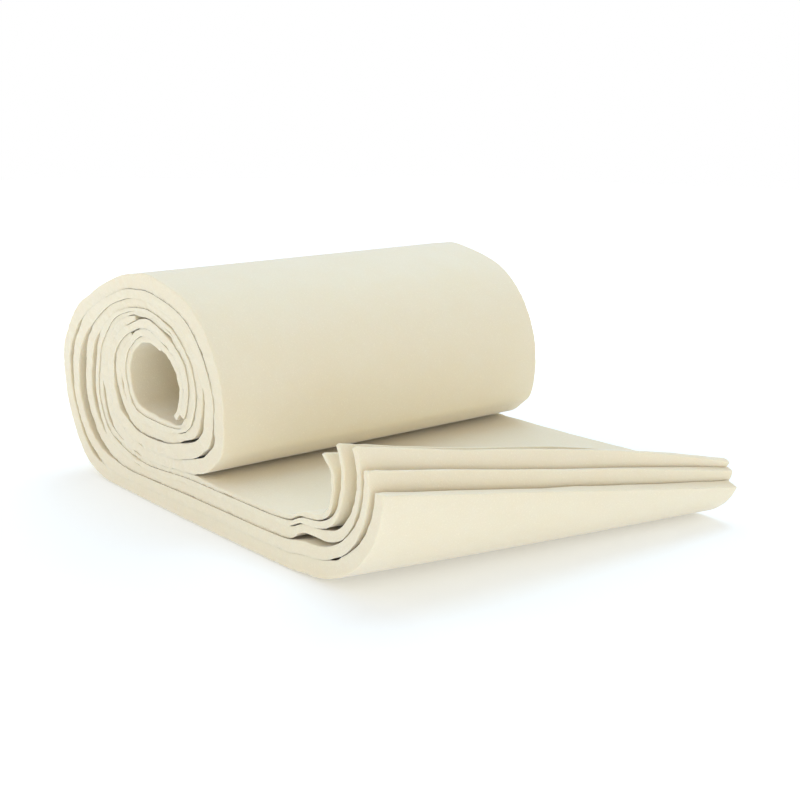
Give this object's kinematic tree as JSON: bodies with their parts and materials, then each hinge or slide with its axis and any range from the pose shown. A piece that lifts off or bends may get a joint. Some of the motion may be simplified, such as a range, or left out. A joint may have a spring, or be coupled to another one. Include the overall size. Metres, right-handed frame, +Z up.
{
  "type": "roll of felt",
  "caption": "Loosely wound roll of thick cream felt sheets lying on its side, with a hollow middle and a short tail whose ends curl up.",
  "frame": {"origin": "middle of the footprint, on the surface that the roll lies on", "axes": "+X from the roll toward the tail's curled end, +Y along the roll's axis, +Z up"},
  "size_m": [0.2238, 0.1514, 0.0907],
  "materials": {
    "felt": "matt, fuzzy cream wool felt"
  },
  "bodies": {
    "root": {"felt_sheet_1": "felt", "felt_sheet_2": "felt", "felt_sheet_3": "felt", "felt_sheet_4": "felt", "felt_sheet_5": "felt"}
  },
  "joints": []
}
